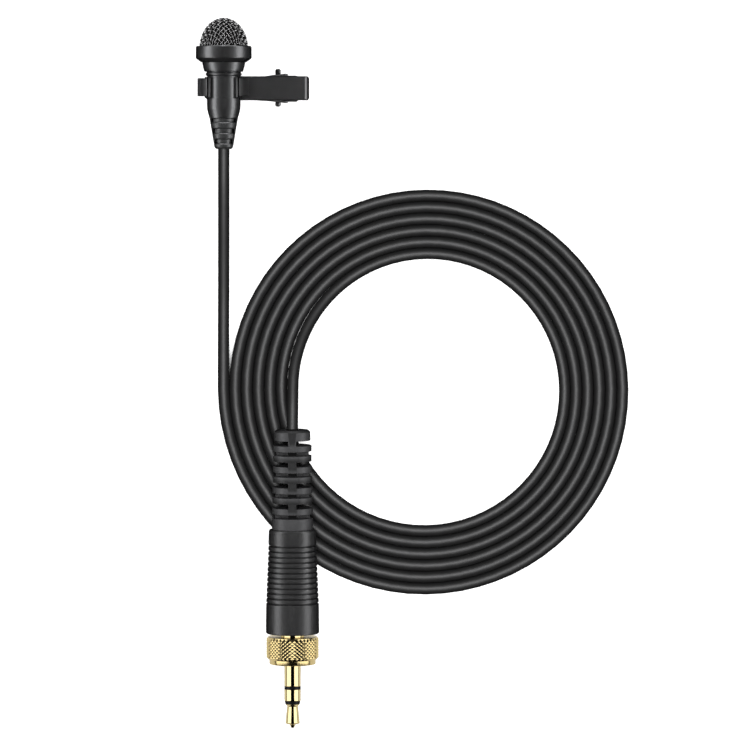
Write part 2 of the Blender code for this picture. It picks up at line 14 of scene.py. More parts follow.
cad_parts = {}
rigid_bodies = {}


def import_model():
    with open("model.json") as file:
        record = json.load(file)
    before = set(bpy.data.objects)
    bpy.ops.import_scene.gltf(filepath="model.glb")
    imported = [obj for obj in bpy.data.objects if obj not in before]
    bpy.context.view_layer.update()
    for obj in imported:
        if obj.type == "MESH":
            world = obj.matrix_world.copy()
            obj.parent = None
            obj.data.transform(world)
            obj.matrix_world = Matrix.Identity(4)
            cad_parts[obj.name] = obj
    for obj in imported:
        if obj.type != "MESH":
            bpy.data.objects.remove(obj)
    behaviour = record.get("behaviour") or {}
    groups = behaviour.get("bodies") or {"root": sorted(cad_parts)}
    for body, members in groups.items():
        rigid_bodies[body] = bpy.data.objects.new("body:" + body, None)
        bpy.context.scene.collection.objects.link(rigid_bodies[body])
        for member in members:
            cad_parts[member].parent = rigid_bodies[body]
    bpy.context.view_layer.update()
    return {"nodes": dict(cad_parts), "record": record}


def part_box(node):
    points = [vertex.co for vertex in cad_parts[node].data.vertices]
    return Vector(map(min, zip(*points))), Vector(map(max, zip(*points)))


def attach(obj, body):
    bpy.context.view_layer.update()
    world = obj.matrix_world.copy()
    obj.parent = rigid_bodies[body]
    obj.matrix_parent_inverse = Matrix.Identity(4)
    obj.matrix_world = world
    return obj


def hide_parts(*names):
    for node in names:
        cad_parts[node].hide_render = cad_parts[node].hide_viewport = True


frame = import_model()

MM = 0.001
JOINTS = {joint["name"]: joint for joint in frame["record"]["behaviour"]["joints"]}


def joint_mm(name):
    """A joint's place, in millimetres."""
    return Vector(JOINTS[name]["pos_m"]) / MM


def low(node):
    return Vector(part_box(node)[0]) / MM


def high(node):
    return Vector(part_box(node)[1]) / MM


# Frames of the turned pieces and of the clip, in millimetres.
MIC_X, CLIP_Y, MIC_Z = joint_mm("clip_turn")
APEX_Y = high("windscreen_mesh").y
PLUG_DIRECTION = Vector(JOINTS["lock_turn"]["axis"]).normalized()
PLUG_TILT = math.asin(PLUG_DIRECTION.z)
LOCK_STATION = 16.0
PLUG_TIP = joint_mm("lock_turn") - PLUG_DIRECTION * LOCK_STATION
AXLE = joint_mm("jaw_hinge")
STAND = Matrix.Rotation(math.pi / 2, 4, "X")
MIC = Matrix.Translation((MIC_X, APEX_Y, MIC_Z)) @ STAND
CLIP = Matrix.Translation((MIC_X, CLIP_Y, MIC_Z))
PIN = Matrix.Translation(AXLE) @ STAND
JAW = Matrix.Translation(AXLE)
PLUG = Matrix.Translation(PLUG_TIP) @ Matrix.Rotation(PLUG_TILT - math.pi / 2, 4, "X")

# Driving sizes, in millimetres.
DOME_R = (high("windscreen_mesh").x - low("windscreen_mesh").x) / 2
DOME_L = 6.50
COLLAR_R = 5.95
BARREL_R = 3.58
SEAT_R = 3.50
TAIL_START = 21.50
TAIL_END = 28.02
TAIL_R0 = 3.01
TAIL_TAPER = 0.167
TAIL_WEB = 0.32
TAIL_SLOTS = ((0.0, 0.92), (2.17, 3.25), (4.43, 5.45))
CABLE_R = 1.21
CABLE_Z = CABLE_R + 0.01
COIL_CENTRE = Vector((37.00, -65.20))
COIL_R0 = 43.32
COIL_PITCH = 2.486
COIL_TURNS = 6
LIFT_TURN = 5 / 6
BOOT_END = 63.87
BOOT_HEAD = 2.20
BOOT_SLOT = 1.05
BOOT_RING = 1.26
BOOT_PITCH = 4.473
BOOT_WEB = 0.85
BOOT_BASE = 38.84
RING_FRONT = 13.74
KNURL_START = 14.84
KNURL_END = 19.61
BARREL_FRONT = 20.30
BARREL_BACK = 42.56
TIP_END = 5.14
RING_START = 5.88
RING_END = 8.31
SLEEVE_START = 9.00
NECK_START = 16.24
NECK_R = 2.48
KNURL_R = 5.59
JACK_R = 1.75


# ---------------------------------------------------------------- materials


class Nodes:
    """A node tree that is being built: it adds nodes and links them."""

    def __init__(self, tree):
        self.tree = tree

    def add(self, kind, **values):
        node = self.tree.nodes.new(kind)
        for key, value in values.items():
            setattr(node, key, value)
        return node

    def link(self, source, target):
        self.tree.links.new(source, target)


def noise(nodes, place, scale, detail=3.0, rough=0.55):
    found = nodes.add("ShaderNodeTexNoise")
    found.inputs["Scale"].default_value = scale
    found.inputs["Detail"].default_value = detail
    found.inputs["Roughness"].default_value = rough
    nodes.link(place, found.inputs["Vector"])
    return found.outputs["Fac"]


def ramp(nodes, value, low_in, high_in, low_out, high_out):
    found = nodes.add("ShaderNodeMapRange")
    found.inputs["From Min"].default_value = low_in
    found.inputs["From Max"].default_value = high_in
    found.inputs["To Min"].default_value = low_out
    found.inputs["To Max"].default_value = high_out
    nodes.link(value, found.inputs["Value"])
    return found.outputs["Result"]


def mix_colour(nodes, factor, one, two):
    found = nodes.add("ShaderNodeMix", data_type="RGBA")
    nodes.link(factor, found.inputs["Factor"])
    for socket, colour in ((found.inputs[6], one), (found.inputs[7], two)):
        if isinstance(colour, tuple):
            socket.default_value = (*colour, 1.0)
        else:
            nodes.link(colour, socket)
    return found.outputs[2]


def surface(
    name,
    colour,
    rough,
    metallic=0.0,
    specular=0.5,
    vary=0.25,
    rough_vary=0.06,
    mottle=0.7,
    grain=6.0,
    bump=0.25,
    depth=0.012,
    wear=None,
    wear_from=0.53,
    edge=1.0,
    painted_recess_shade=0.0,
):
    """A procedural material. Mottle and grain are noise scales per millimetre, depth is in millimetres.

    Edge is how much of the glancing reflection is left. The recess shade is painted shade: it sets how much
    darker the base colour is made in recesses, wherever ambient occlusion finds a hollow.
    """
    material = bpy.data.materials.new(name)
    material.use_nodes = True
    nodes = Nodes(material.node_tree)
    shader = material.node_tree.nodes["Principled BSDF"]
    shader.inputs["Metallic"].default_value = metallic
    shader.inputs["Specular IOR Level"].default_value = specular
    shader.inputs["Specular Tint"].default_value = (edge, edge, edge, 1.0)
    place = nodes.add("ShaderNodeTexCoord").outputs["Object"]
    sized = nodes.add("ShaderNodeMapping")
    sized.inputs["Scale"].default_value = (1 / MM, 1 / MM, 1 / MM)
    nodes.link(place, sized.inputs["Vector"])
    place = sized.outputs["Vector"]
    broad = noise(nodes, place, mottle)
    fine = noise(nodes, place, grain, 4.0, 0.6)
    dark = tuple(c * (1 - vary) for c in colour)
    light = tuple(min(c * (1 + vary), 1.0) for c in colour)
    painted = mix_colour(nodes, broad, dark, light)
    if wear:
        pointed = nodes.add("ShaderNodeNewGeometry").outputs["Pointiness"]
        worn = ramp(nodes, pointed, wear_from, wear_from + 0.06, 0.0, 0.8)
        painted = mix_colour(nodes, worn, painted, wear)
    # Painted shade: ambient occlusion darkens the base colour in recesses, standing in for the shade that
    # falls there.
    if painted_recess_shade:
        recess_shade_ao = nodes.add("ShaderNodeAmbientOcclusion", samples=8, only_local=True)
        recess_shade_ao.inputs["Distance"].default_value = MM
        unshaded_share = ramp(nodes, recess_shade_ao.outputs["AO"], 0.25, 0.75, 1.0 - painted_recess_shade, 1.0)
        painted = mix_colour(nodes, unshaded_share, (0.0, 0.0, 0.0), painted)
    nodes.link(painted, shader.inputs["Base Color"])
    rough_out = ramp(nodes, fine, 0.3, 0.7, rough - rough_vary, rough + rough_vary)
    nodes.link(rough_out, shader.inputs["Roughness"])
    relief = nodes.add("ShaderNodeBump")
    relief.inputs["Strength"].default_value = bump
    relief.inputs["Distance"].default_value = depth * MM
    nodes.link(fine, relief.inputs["Height"])
    nodes.link(relief.outputs["Normal"], shader.inputs["Normal"])
    material.diffuse_color = (*colour, 1.0)
    return material


# The recess-shade values below paint shade into the hollows, grooves and creases of the black pieces.
MATERIALS = {
    "satin_black": surface(
        "satin_black", (0.088, 0.089, 0.091), 0.34, 0.90, vary=0.08, rough_vary=0.05, mottle=0.6,
        grain=2.8, bump=0.6, depth=0.024, wear=(0.20, 0.20, 0.205), wear_from=0.54, edge=0.15, painted_recess_shade=0.8,
    ),
    "tail_black": surface(
        "tail_black", (0.070, 0.071, 0.072), 0.42, 0.80, vary=0.08, rough_vary=0.05, mottle=0.6,
        grain=2.8, bump=0.7, depth=0.028, wear=(0.16, 0.16, 0.165), wear_from=0.56, edge=0.15, painted_recess_shade=0.85,
    ),
    "sheet_black": surface(
        "sheet_black", (0.087, 0.087, 0.089), 0.34, 0.84, vary=0.10, rough_vary=0.05, mottle=0.35,
        grain=4.0, bump=0.4, depth=0.012, wear=(0.16, 0.16, 0.165), wear_from=0.53, edge=0.15, painted_recess_shade=0.7,
    ),
    "band_black": surface(
        "band_black", (0.095, 0.095, 0.097), 0.33, 0.93, vary=0.10, rough_vary=0.05, mottle=0.35,
        grain=4.0, bump=0.4, depth=0.012, wear=(0.16, 0.16, 0.165), wear_from=0.53, edge=0.15, painted_recess_shade=0.85,
    ),
    "mesh_wire": surface(
        "mesh_wire", (0.38, 0.38, 0.384), 0.22, 1.0, vary=0.25, rough_vary=0.08, mottle=1.6,
        grain=8.0, bump=0.3, depth=0.008,
    ),
    "foam": surface(
        "foam", (0.004, 0.004, 0.004), 0.95, specular=0.1, vary=0.4, rough_vary=0.03, mottle=3.0,
        grain=5.0, bump=1.0, depth=0.08,
    ),
    "rubber": surface(
        "rubber", (0.023, 0.023, 0.0235), 0.44, 0.3, specular=0.3, vary=0.12, rough_vary=0.06,
        mottle=0.5, grain=2.6, bump=0.7, depth=0.03, wear=(0.06, 0.06, 0.062), wear_from=0.55,
        edge=0.3, painted_recess_shade=0.92,
    ),
    "grained_plastic": surface(
        "grained_plastic", (0.052, 0.052, 0.053), 0.36, 0.72, vary=0.12, rough_vary=0.07, mottle=0.6,
        grain=2.5, bump=0.8, depth=0.032, wear=(0.11, 0.11, 0.112), wear_from=0.55, edge=0.15,
        painted_recess_shade=0.9,
    ),
    "insulator": surface("insulator", (0.002, 0.002, 0.002), 0.45, specular=0.15, rough_vary=0.04, grain=8.0),
    "cable_jacket": surface(
        "cable_jacket", (0.042, 0.042, 0.0425), 0.58, 0.85, specular=0.5, vary=0.15, rough_vary=0.03,
        mottle=0.35, grain=4.0, bump=0.35, edge=0.15,
    ),
    "gold": surface(
        "gold", (1.0, 0.81, 0.42), 0.07, 1.0, vary=0.04, rough_vary=0.02, mottle=0.5, grain=5.0,
        bump=0.05, depth=0.002,
    ),
    "knurled_gold": surface(
        "knurled_gold", (1.0, 0.76, 0.36), 0.20, 1.0, vary=0.08, rough_vary=0.04, mottle=1.2,
        grain=5.0, bump=0.15, depth=0.005,
    ),
    "steel": surface(
        "steel", (0.42, 0.42, 0.43), 0.28, 1.0, vary=0.12, mottle=0.8, grain=7.0, bump=0.2, depth=0.006,
    ),
    "pin_black": surface(
        "pin_black", (0.05, 0.05, 0.051), 0.28, 0.9, vary=0.2, rough_vary=0.05, mottle=0.8,
        grain=7.0, bump=0.2, depth=0.006, wear=(0.30, 0.30, 0.305), wear_from=0.53,
    ),
    "capsule_metal": surface(
        "capsule_metal", (0.62, 0.62, 0.60), 0.30, 1.0, vary=0.1, mottle=0.6, bump=0.2, depth=0.006,
    ),
    "felt": surface(
        "felt", (0.03, 0.03, 0.03), 0.95, specular=0.2, vary=0.4, rough_vary=0.03, mottle=2.0,
        grain=8.0, bump=1.0, depth=0.05,
    ),
    "board": surface(
        "board", (0.02, 0.11, 0.05), 0.40, vary=0.2, rough_vary=0.05, mottle=0.8, grain=5.0,
        bump=0.2, depth=0.01,
    ),
    "copper": surface(
        "copper", (0.72, 0.38, 0.22), 0.30, 1.0, vary=0.15, rough_vary=0.05, mottle=1.0,
        bump=0.2, depth=0.005,
    ),
}

# The record's material slot that each material stands for, and the finish of CAD nodes left showing.
CAD_FINISH = {
    "black_metal": "satin_black",
    "mesh_wire": "mesh_wire",
    "foam": "foam",
    "black_rubber": "rubber",
    "black_plastic": "insulator",
    "capsule_metal": "capsule_metal",
    "felt": "felt",
    "board": "board",
    "copper": "copper",
    "spring_steel": "steel",
    "gold": "gold",
    "cable_jacket": "cable_jacket",
}


def finish_cad_nodes():
    """Gives every CAD node the procedural material of its slot, for the ones that stay in view."""
    for entry in frame["record"]["subparts"]:
        node = frame["nodes"][entry["node"]]
        for slot in node.material_slots:
            slot.material = MATERIALS[CAD_FINISH[entry["material_slot"]]]


# ---------------------------------------------------------------- shapes


def fillet(profile, radius, closed=True, steps=3):
    """A polyline of pairs with its corners rounded, by less where its legs are short."""
    points = [Vector(p) for p in profile]
    count = len(points)
    out = []
    for k, corner in enumerate(points):
        if not closed and k in (0, count - 1):
            out.append(tuple(corner))
            continue
        back = points[k - 1] - corner
        on = points[(k + 1) % count] - corner
        if back.length < 1e-6 or on.length < 1e-6:
            out.append(tuple(corner))
            continue
        half = back.angle(on) / 2
        if half > math.radians(86):
            out.append(tuple(corner))
            continue
        reach = min(radius / math.tan(half), 0.45 * back.length, 0.45 * on.length)
        first = corner + back.normalized() * reach
        last = corner + on.normalized() * reach
        for i in range(steps + 1):
            t = i / steps
            out.append(tuple(first * (1 - t) ** 2 + corner * 2 * t * (1 - t) + last * t**2))
    return out


def lathe(profile, segments):
    """A bmesh turned from (radius, station) pairs. It closes on the axis or on itself."""
    bm = bmesh.new()
    rings = []
    for radius, station in profile:
        if radius < 1e-5:
            rings.append([bm.verts.new((0.0, 0.0, station))] * segments)
            continue
        turn = [2 * math.pi * k / segments for k in range(segments)]
        rings.append([bm.verts.new((radius * math.cos(a), radius * math.sin(a), station)) for a in turn])
    on_axis = profile[0][0] < 1e-5
    pairs = list(zip(rings, rings[1:] + rings[:1]))
    for one, two in pairs[:-1] if on_axis else pairs:
        for k in range(segments):
            n = (k + 1) % segments
            corners = [one[k], one[n], two[n], two[k]]
            face = [v for i, v in enumerate(corners) if v not in corners[:i]]
            if len(face) > 2:
                bm.faces.new(face)
    return bm


def prism(outline, start, end):
    """A flat outline in X and Y, stretched along Z."""
    bm = bmesh.new()
    lower = [bm.verts.new((x, y, start)) for x, y in outline]
    upper = [bm.verts.new((x, y, end)) for x, y in outline]
    bm.faces.new(lower[::-1])
    bm.faces.new(upper)
    for k in range(len(outline)):
        n = (k + 1) % len(outline)
        bm.faces.new([lower[k], lower[n], upper[n], upper[k]])
    return bm


def box_outline(x0, x1, y0, y1):
    return [(x0, y0), (x1, y0), (x1, y1), (x0, y1)]


def skinned(bm, rings):
    """Faces between each ring of vertices and the next, and a cap on both ends."""
    for one, two in zip(rings, rings[1:]):
        for k in range(len(one)):
            n = (k + 1) % len(one)
            bm.faces.new([one[k], one[n], two[n], two[k]])
    bm.faces.new(rings[0][::-1])
    bm.faces.new(rings[-1])


def tube(bm, points, radius, sides):
    """A round wire through the points, added to a bmesh."""
    points = [Vector(p) for p in points]
    side = None
    rings = []
    for k, point in enumerate(points):
        along = (points[min(k + 1, len(points) - 1)] - points[max(k - 1, 0)]).normalized()
        if side is None:
            side = along.orthogonal().normalized()
        side = (side - along * side.dot(along)).normalized()
        up = along.cross(side)
        turn = [2 * math.pi * i / sides for i in range(sides)]
        rings.append([bm.verts.new(point + (side * math.cos(a) + up * math.sin(a)) * radius) for a in turn])
    skinned(bm, rings)


def merged(parts):
    """One bmesh holding several."""
    whole = bmesh.new()
    for part in parts:
        mesh = bpy.data.meshes.new("part")
        part.to_mesh(mesh)
        part.free()
        whole.from_mesh(mesh)
        bpy.data.meshes.remove(mesh)
    return whole


def piece(name, bm, place, material, body, nodes=(), sharp=40.0, bevel=0.0, cuts=(), joins=()):
    """A visible piece from a bmesh in the frame place. Cuts and joins are bmeshes in the same frame."""
    obj = bare_object(name, bm, place)
    for operation, tools in (("UNION", joins), ("DIFFERENCE", cuts)):
        for tool_bm in tools:
            combine(obj, bare_object(name + "_tool", tool_bm, place), operation)
    mesh = obj.data
    mesh.materials.clear()
    mesh.materials.append(MATERIALS[material])
    mesh.polygons.foreach_set("use_smooth", [True] * len(mesh.polygons))
    mesh.set_sharp_from_angle(angle=math.radians(sharp))
    if bevel:
        rounding = obj.modifiers.new("bevel", "BEVEL")
        rounding.width = bevel * MM
        rounding.segments = 2
        rounding.limit_method = "ANGLE"
        rounding.angle_limit = math.radians(35)
        rounding.use_clamp_overlap = True
        rounding.harden_normals = True
    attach(obj, body)
    if nodes:
        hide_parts(*nodes)
    return obj


def bare_object(name, bm, place):
    """An object with outward faces, its mesh in metres and in the row frame."""
    bmesh.ops.recalc_face_normals(bm, faces=bm.faces)
    bm.transform(Matrix.Scale(MM, 4) @ place)
    mesh = bpy.data.meshes.new(name)
    bm.to_mesh(mesh)
    bm.free()
    obj = bpy.data.objects.new(name, mesh)
    bpy.context.scene.collection.objects.link(obj)
    return obj


def combine(obj, tool, operation):
    """Applies one boolean at once and deletes the tool."""
    step = obj.modifiers.new("combine", "BOOLEAN")
    step.operation = operation
    step.solver = "EXACT"
    step.object = tool
    graph = bpy.context.evaluated_depsgraph_get()
    result = bpy.data.meshes.new_from_object(obj.evaluated_get(graph))
    obj.modifiers.clear()
    obj.data = result
    bpy.data.objects.remove(tool, do_unlink=True)


# ---------------------------------------------------------------- camera, light and floor

STRIP_LENGTH = 2.4
STRIP_RADIANCE = 4.8
PANEL_RADIANCE = 0.28
RIM_RADIANCE = 4.0
TOP_RADIANCE = 25.0
CORD_RADIANCE = 80.0
GOLD_PANEL_RADIANCE = 1.5
GOLD_CARD_RADIANCE = 0.60
GOLD_PANEL_SHIFT = 0.375
FILL = 0.03
LENS = 450.0
SENSOR = 36.0
VIEW_HALF = 80.03
VIEW_CENTRE = Vector((26.09, -62.17, 5.0))
FLOOR_HALF = 6000.0
FLOOR_GAP = 0.02


def build_camera():
    camera = bpy.data.objects.new("camera", bpy.data.cameras.new("camera"))
    camera.data.lens = LENS
    camera.data.sensor_width = SENSOR
    camera.data.clip_end = 50.0
    rise = VIEW_HALF / (SENSOR / 2 / LENS)
    camera.location = (VIEW_CENTRE + Vector((0, 0, rise))) * MM
    bpy.context.scene.collection.objects.link(camera)
    bpy.context.scene.camera = camera


def softbox(name, tilt, distance, width, length, radiance):
    """A rectangular light that faces the middle of the object, tilted away from overhead."""
    tilt = math.radians(tilt)
    light = bpy.data.lights.new(name, "AREA")
    light.shape = "RECTANGLE"
    light.size = width
    light.size_y = length
    light.energy = radiance * math.pi * width * length
    obj = bpy.data.objects.new(name, light)
    bpy.context.scene.collection.objects.link(obj)
    away = Vector((math.sin(tilt), 0.0, math.cos(tilt))) * distance
    obj.location = Vector((VIEW_CENTRE.x, VIEW_CENTRE.y, 0.0)) * MM + away
    obj.rotation_euler = (0.0, tilt, 0.0)
    obj.visible_camera = False
    return obj


def build_light():
    """A soft key overhead, a bright strip and a dimmer panel on each side, and a rim beyond the head."""
    shared = []
    for name, side in (("left", -1), ("right", 1)):
        shared.append(softbox(name + "_strip", side * 69, 1.0, 0.48, STRIP_LENGTH, STRIP_RADIANCE))
        shared.append(softbox(name + "_panel", side * 40, 1.3, 0.60, STRIP_LENGTH, PANEL_RADIANCE))
    rim = softbox("rim", 76, 1.0, 0.45, 1.4, RIM_RADIANCE)
    quarter = Matrix.Rotation(math.pi / 2, 4, "Z")
    centre = Matrix.Translation(Vector((VIEW_CENTRE.x, VIEW_CENTRE.y, 0.0)) * MM)
    rim.matrix_world = centre @ quarter @ centre.inverted() @ rim.matrix_basis
    softbox("top", 0, 1.9, 0.9, 0.9, TOP_RADIANCE).visible_glossy = False
    world = bpy.data.worlds.new("studio")
    bpy.context.scene.world = world
    world.use_nodes = True
    nodes = Nodes(world.node_tree)
    shade = world.node_tree.nodes["Background"]
    up = nodes.add("ShaderNodeSeparateXYZ")
    nodes.link(nodes.add("ShaderNodeTexCoord").outputs["Generated"], up.inputs["Vector"])
    nodes.link(ramp(nodes, up.outputs["Z"], -0.1, 0.2, FILL, 0.0), shade.inputs["Strength"])
    shade.inputs["Color"].default_value = (1.0, 1.0, 1.0, 1.0)
    return shared, rim


def light_only(name, lights, objects, state="INCLUDE"):
    """Keeps some lights to some pieces, or off those pieces. These lights show in reflections only."""
    lit = bpy.data.collections.new(name)
    for obj in objects:
        lit.objects.link(obj)
    for entry in lit.collection_objects:
        entry.light_linking.link_state = state
    for light in lights:
        light.visible_diffuse = False
        light.light_linking.receiver_collection = lit


def light_pieces(shared, cords, golds):
    """The cord's matt jacket answers to a key near the camera, and the gold to panels and a card below.

    The cord inside the boot stays unlit, so the boot's openings read dark. The gold's panels reach
    further up than down, so only one side of each knurled point is bright.
    """
    unlit = bpy.data.objects["cable_in_boot"]
    light_only("all_but_cords_and_golds", shared, [*cords, *golds, unlit], "EXCLUDE")
    light_only("cords", [softbox("cord_key", 0, 1.9, 0.5, 0.5, CORD_RADIANCE)], cords)
    panels = []
    for side in (-1, 1):
        panel = softbox(f"gold_panel_{side + 1}", side * 56, 1.0, 1.2, 1.45, GOLD_PANEL_RADIANCE)
        panel.location.y += GOLD_PANEL_SHIFT
        panels.append(panel)
    card = softbox("gold_card", 180, 0.20, 2.4, 2.4, GOLD_CARD_RADIANCE)
    light_only("golds", [*panels, card], golds)


def build_floor():
    """A pale sheet under the object, a little bright of itself, with painted shade that darkens it only in
    the closest gaps.
    """
    bm = bmesh.new()
    bmesh.ops.create_grid(bm, x_segments=8, y_segments=8, size=FLOOR_HALF)
    obj = bare_object("floor", bm, Matrix.Translation((0, 0, -FLOOR_GAP)))
    material = bpy.data.materials.new("floor")
    material.use_nodes = True
    nodes = Nodes(material.node_tree)
    shader = material.node_tree.nodes["Principled BSDF"]
    shader.inputs["Roughness"].default_value = 0.9
    shader.inputs["Specular IOR Level"].default_value = 0.1
    shader.inputs["Emission Color"].default_value = (1.0, 1.0, 1.0, 1.0)
    # Painted shade: ambient occlusion darkens the floor's colour and glow in narrow gaps between close parts,
    # where real shade falls.
    open_sky = nodes.add("ShaderNodeAmbientOcclusion", samples=16)
    open_sky.inputs["Distance"].default_value = 4 * MM
    seen = ramp(nodes, open_sky.outputs["AO"], 0.12, 0.40, 0.0, 1.0)
    nodes.link(mix_colour(nodes, seen, (0.0, 0.0, 0.0), (0.62, 0.62, 0.62)), shader.inputs["Base Color"])
    nodes.link(ramp(nodes, seen, 0.0, 1.0, 0.0, 0.75), shader.inputs["Emission Strength"])
    obj.data.materials.append(material)
    obj.visible_glossy = False
    obj.visible_diffuse = False
    obj.visible_shadow = False


# ---------------------------------------------------------------- cable


def coil_point(turns):
    """A point of the winding's centre line. It starts at the coil's left."""
    a = math.pi + 2 * math.pi * turns
    r = COIL_R0 - COIL_PITCH * turns
    return Vector((COIL_CENTRE.x + r * math.cos(a), COIL_CENTRE.y + r * math.sin(a), CABLE_Z))


def eased(u, start, end, end_slope=0.0):
    """A value that leaves start level and reaches end at u = 1 with the given slope."""
    u = min(max(u, 0.0), 1.0)
    return start + (end - start) * (3 * u**2 - 2 * u**3) + end_slope * (u**3 - u**2)


def plug_point(station):
    return PLUG_TIP + PLUG_DIRECTION * station


def flat_length(points):
    """The distance covered over the table up to each point."""
    found = [0.0]
    for one, two in zip(points, points[1:]):
        found.append(found[-1] + math.hypot(two.x - one.x, two.y - one.y))
    return found


def cable_route():
    """From the microphone down to the table, round the coil, and up into the boot."""
    first = APEX_Y - TAIL_END + 0.10
    down = []
    left = coil_point(0.0)
    for k in range(31):
        y = first + (left.y - first) * k / 31
        x = eased(k / 31, MIC_X, left.x)
        down.append(Vector((x, y, eased((first - 0.6 - y) / 38.0, MIC_Z, CABLE_Z))))
    per_turn = 72
    lift = COIL_TURNS - 1 + LIFT_TURN
    wound = [coil_point(k / per_turn) for k in range(int(per_turn * lift))]
    last = [coil_point(lift + (COIL_TURNS - lift) * k / 14) for k in range(15)]
    boot = plug_point(BOOT_END + 0.2)
    last += [last[-1].lerp(boot, k / 5) for k in (1, 2, 3, 4, 5)]
    lengths = flat_length(last)
    for point, length in zip(last, lengths):
        fall = -math.tan(PLUG_TILT) * lengths[-1]
        point.z = eased(length / lengths[-1], CABLE_Z, boot.z, fall)
    return down + wound + last


def build_cable():
    curve = bpy.data.curves.new("cable", "CURVE")
    curve.dimensions = "3D"
    curve.bevel_depth = CABLE_R * MM
    curve.bevel_resolution = 6
    curve.use_fill_caps = True
    route = cable_route()
    spline = curve.splines.new("POLY")
    spline.points.add(len(route) - 1)
    for slot, point in zip(spline.points, route):
        slot.co = (*(point * MM), 1.0)
    spline.use_smooth = True
    curve.materials.append(MATERIALS["cable_jacket"])
    cable = bpy.data.objects.new("cable", curve)
    bpy.context.scene.collection.objects.link(cable)
    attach(cable, "microphone")
    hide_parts("cable_mic_end", "cable_coil", "cable_plug_end")
    return cable


# ---------------------------------------------------------------- windscreen

WEAVE_PITCH = 0.94
WEAVE_WIRE_R = 0.09
WEAVE_LIFT = 0.13
WEAVE_BASE = 6.75


def dome_meridian(radius, length, top, steps=200):
    """Points (arc length, radius, station) down the side of the dome."""
    found = [(0.0, 0.0, top)]
    for k in range(1, steps + 1):
        a = math.pi / 2 * k / steps
        r = radius * math.sin(a)
        s = top + length * (1 - math.cos(a))
        run, before_r, before_s = found[-1]
        found.append((run + math.hypot(r - before_r, s - before_s), r, s))
    return found


def on_dome(meridian, u, v, lift):
    """The place of a point (u, v) of the flat sheet once it is pressed into the dome."""
    rho = math.hypot(u, v)
    last = len(meridian) - 1
    index = last - 1
    if rho < meridian[-1][0]:
        index = min(range(last), key=lambda k: abs(meridian[k][0] - rho))
    if meridian[index][0] > rho and index:
        index -= 1
    one, two = meridian[index], meridian[index + 1]
    t = (rho - one[0]) / (two[0] - one[0])
    radius = one[1] + (two[1] - one[1]) * t
    station = one[2] + (two[2] - one[2]) * t
    along = Vector((two[1] - one[1], two[2] - one[2])).normalized()
    radius += lift * along.y
    station -= lift * along.x
    a = math.atan2(v, u)
    return Vector((radius * math.cos(a), radius * math.sin(a), station))


def build_weave():
    """Two families of wires, each passing over and under the other, pressed into a dome."""
    inset = WEAVE_WIRE_R + WEAVE_LIFT
    meridian = dome_meridian(DOME_R - inset, DOME_L - inset, inset)
    reach = next((run for run, _, station in meridian if station > WEAVE_BASE), meridian[-1][0])
    bm = bmesh.new()
    count = int(reach / WEAVE_PITCH)
    turn = Matrix.Rotation(math.radians(45), 2)
    for family in (0, 1):
        for line in range(-count, count + 1):
            across = (line + 0.5) * WEAVE_PITCH
            if abs(across) >= reach:
                continue
            half = math.sqrt(reach**2 - across**2)
            steps = max(int(2 * half / (WEAVE_PITCH / 5)), 6)
            points = []
            for k in range(steps + 1):
                along = -half + 2 * half * k / steps
                phase = math.pi * (along / WEAVE_PITCH - 0.5) + math.pi * line
                lift = WEAVE_LIFT * math.cos(phase) * (1 if family else -1)
                flat = turn @ (Vector((along, across)) if family else Vector((across, along)))
                points.append(on_dome(meridian, flat.x, flat.y, lift))
            tube(bm, points, WEAVE_WIRE_R, 6)
    return bm


def half_dome(radius, length, top, base, steps):
    """(radius, station) pairs down the dome to the station base."""
    last = math.acos(max(-1.0, (length - (base - top)) / length))
    turn = [last * k / steps for k in range(steps + 1)]
    return [(radius * math.sin(a), top + length * (1 - math.cos(a))) for a in turn]


def build_windscreen():
    piece("windscreen_weave", build_weave(), MIC, "mesh_wire", "windscreen", ["windscreen_mesh"], 80)
    outer = half_dome(DOME_R - 0.45, DOME_L - 0.45, 0.45, 6.8, 24)
    inner = half_dome(DOME_R - 1.15, DOME_L - 1.15, 1.15, 6.8, 16)
    piece("foam_cap", lathe(outer + inner[::-1], 64), MIC, "foam", "windscreen", ["foam_liner"])
    collar = [(5.29, 6.90), (5.29, 6.10), (5.80, 6.10), (COLLAR_R, 6.30)]
    collar += [(COLLAR_R, 8.62), (5.86, 8.78), (4.80, 9.54), (4.46, 9.54), (4.46, 6.90)]
    shape = lathe(fillet(collar, 0.14), 128)
    piece("collar", shape, MIC, "satin_black", "windscreen", ["windscreen_collar"])


# ---------------------------------------------------------------- microphone body


def build_head_and_body():
    cup = [(3.40, 6.95), (3.90, 6.95), (4.00, 7.05), (4.00, 9.62), (4.57, 9.62), (4.57, 9.75)]
    cup += [(4.36, 10.75), (4.12, 11.50), (3.66, 11.58), (3.64, 11.80), (3.90, 12.02)]
    cup += [(3.62, 12.50), (2.70, 12.50), (2.70, 15.0), (1.80, 15.0), (1.80, 10.60), (3.40, 10.60)]
    piece("cup", lathe(fillet(cup, 0.10), 128), MIC, "satin_black", "microphone", ["head_cup"])
    shell = [(2.76, 12.55), (3.52, 12.55), (BARREL_R, 12.66), (BARREL_R, 12.92), (SEAT_R, 12.98)]
    shell += [(SEAT_R, 17.05), (BARREL_R, 17.35), (BARREL_R, 18.70), (3.53, 19.50), (3.36, 20.30)]
    shell += [(3.03, 21.38), (3.02, 21.44), (2.10, 21.44), (2.10, 15.10), (2.76, 15.10)]
    piece("barrel", lathe(fillet(shell, 0.25), 128), MIC, "satin_black", "microphone", ["body_shell"])


